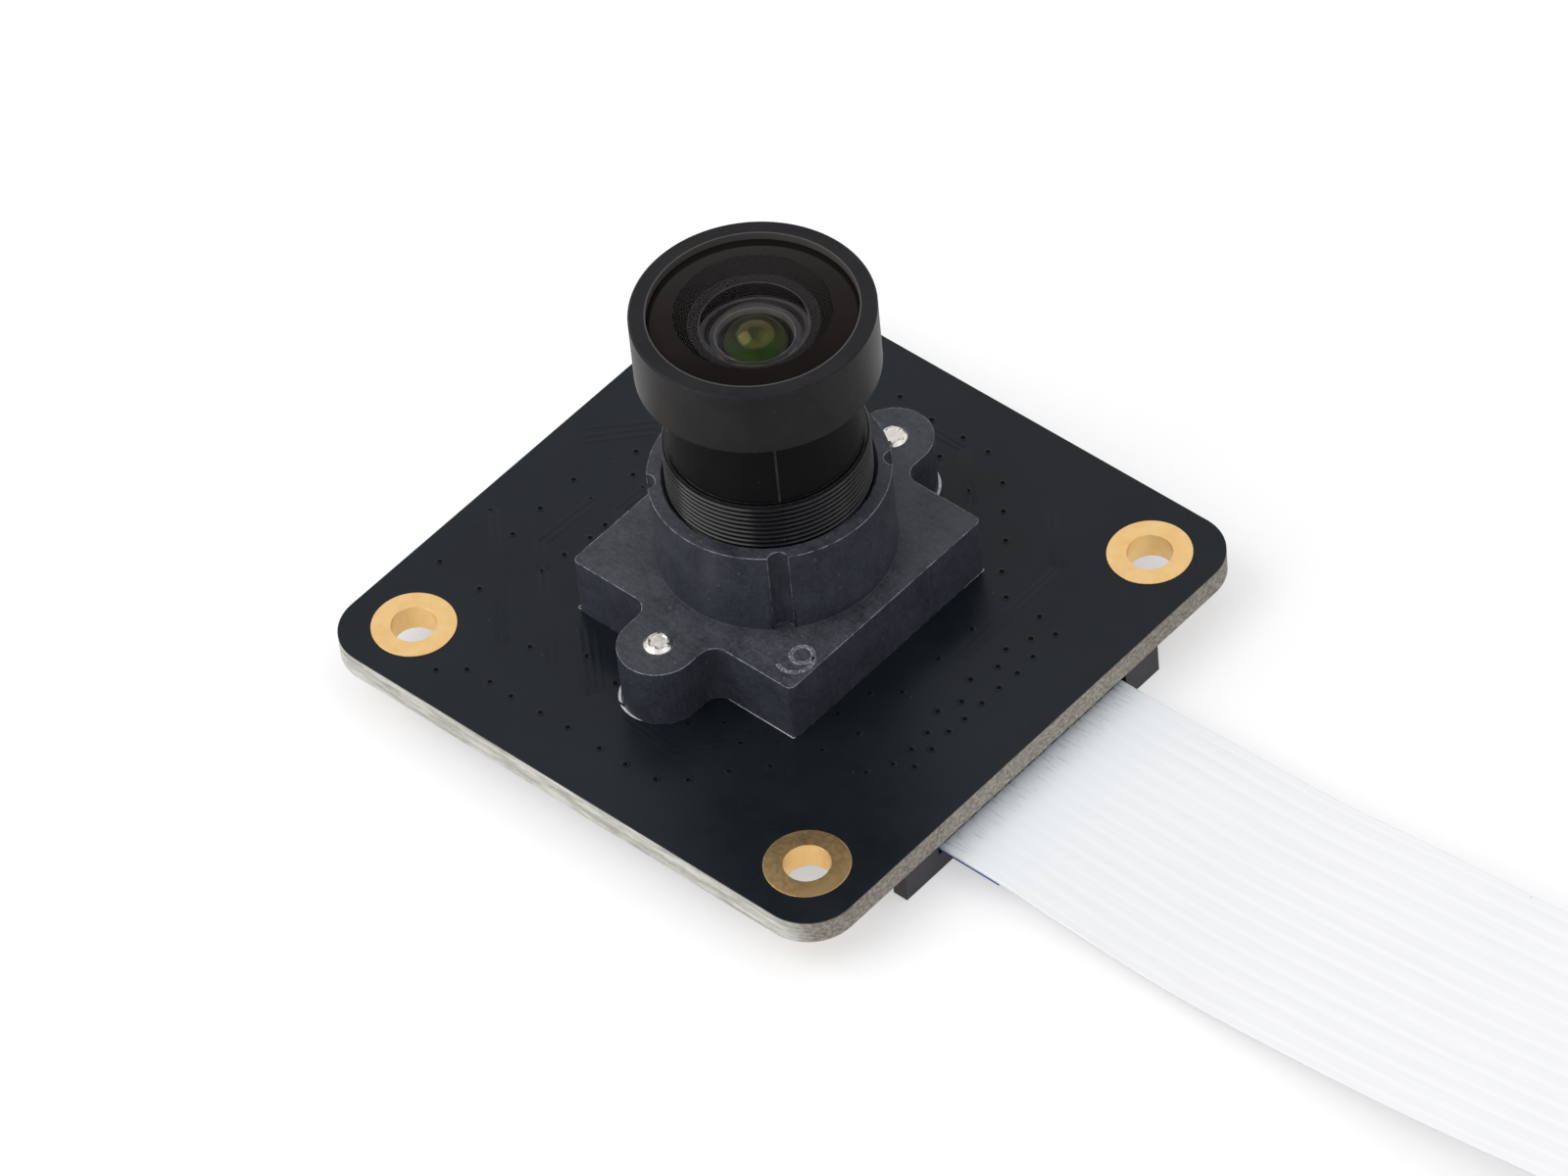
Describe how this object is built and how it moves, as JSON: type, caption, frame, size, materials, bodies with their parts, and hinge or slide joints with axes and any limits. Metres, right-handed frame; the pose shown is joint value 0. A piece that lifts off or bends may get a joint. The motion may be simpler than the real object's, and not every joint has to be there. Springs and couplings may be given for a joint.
{
  "type": "camera module",
  "caption": "Square board camera module: screw-in lens in a moulded holder, image sensor below it, flat ribbon cable in a connector under one edge.",
  "frame": {"origin": "centre of the four mounting holes, on the underside of the board", "axes": "+Z along the optical axis towards the front of the lens, +X towards the edge where the ribbon cable leaves, +Y to complete a right-handed frame"},
  "size_m": [0.183, 0.038, 0.027],
  "materials": {
    "board": "matt black solder mask over glass fibre laminate",
    "gold": "gold plated copper",
    "holder": "fibre filled moulded plastic",
    "screw": "nickel plated",
    "barrel": "satin black moulded plastic",
    "front_glass": "coated glass with a blackened rear rim",
    "inner_black": "matt black",
    "coated_glass": "green and amber coated glass",
    "clear_glass": "clear glass",
    "filter_glass": "infrared cut filter",
    "ceramic": "dull package body",
    "silicon": "polished silicon",
    "connector": "moulded dark grey plastic",
    "contact_metal": "plated spring contacts",
    "tinned_metal": "tinned",
    "ribbon": "white polyester film over flat conductors",
    "stiffener": "blue film",
    "chip_black": "moulded epoxy",
    "capacitor": "fired ceramic"
  },
  "bodies": {
    "board": {"circuit_board": "board", "hole_plating": "gold", "lens_holder": "holder", "holder_screws": "screw", "sensor_package": "ceramic", "sensor_die": "silicon", "sensor_glass": "clear_glass", "ribbon_connector": "connector", "connector_contacts": "contact_metal", "connector_anchors": "tinned_metal", "ribbon_cable": "ribbon", "ribbon_stiffeners": "stiffener", "ribbon_contact_strips": "tinned_metal", "voltage_regulators": "chip_black", "crystal_oscillator": "tinned_metal", "chip_capacitors": "capacitor", "chip_resistors": "chip_black", "chip_terminals": "tinned_metal"},
    "lens_glass": {"front_lens": "front_glass", "front_spacer": "inner_black", "second_lens": "coated_glass", "middle_spacer": "inner_black", "aperture_stop": "inner_black", "third_lens": "clear_glass", "rear_spacer": "inner_black", "rear_lens": "clear_glass", "lens_retainer": "inner_black", "ir_cut_filter": "filter_glass"},
    "lens_barrel": {"lens_barrel": "barrel"},
    "connector_latch": {"connector_latch": "connector"}
  },
  "joints": [
    {"name": "focus_travel", "type": "slide", "parent": "board", "child": "lens_glass", "axis": [0, 0, 1], "range_m": [-0.0007, 0.0014]},
    {"name": "focus_turn", "type": "hinge", "parent": "lens_glass", "child": "lens_barrel", "pos_m": [0, 0, 0.012], "axis": [0, 0, 1], "range_deg": [-720, 1440]},
    {"name": "latch_slide", "type": "slide", "parent": "board", "child": "connector_latch", "axis": [1, 0, 0], "range_m": [0, 0.001]}
  ],
  "couplings": [
    {"joint": "focus_turn", "follows": "focus_travel", "rad_per_m": 17952}
  ]
}
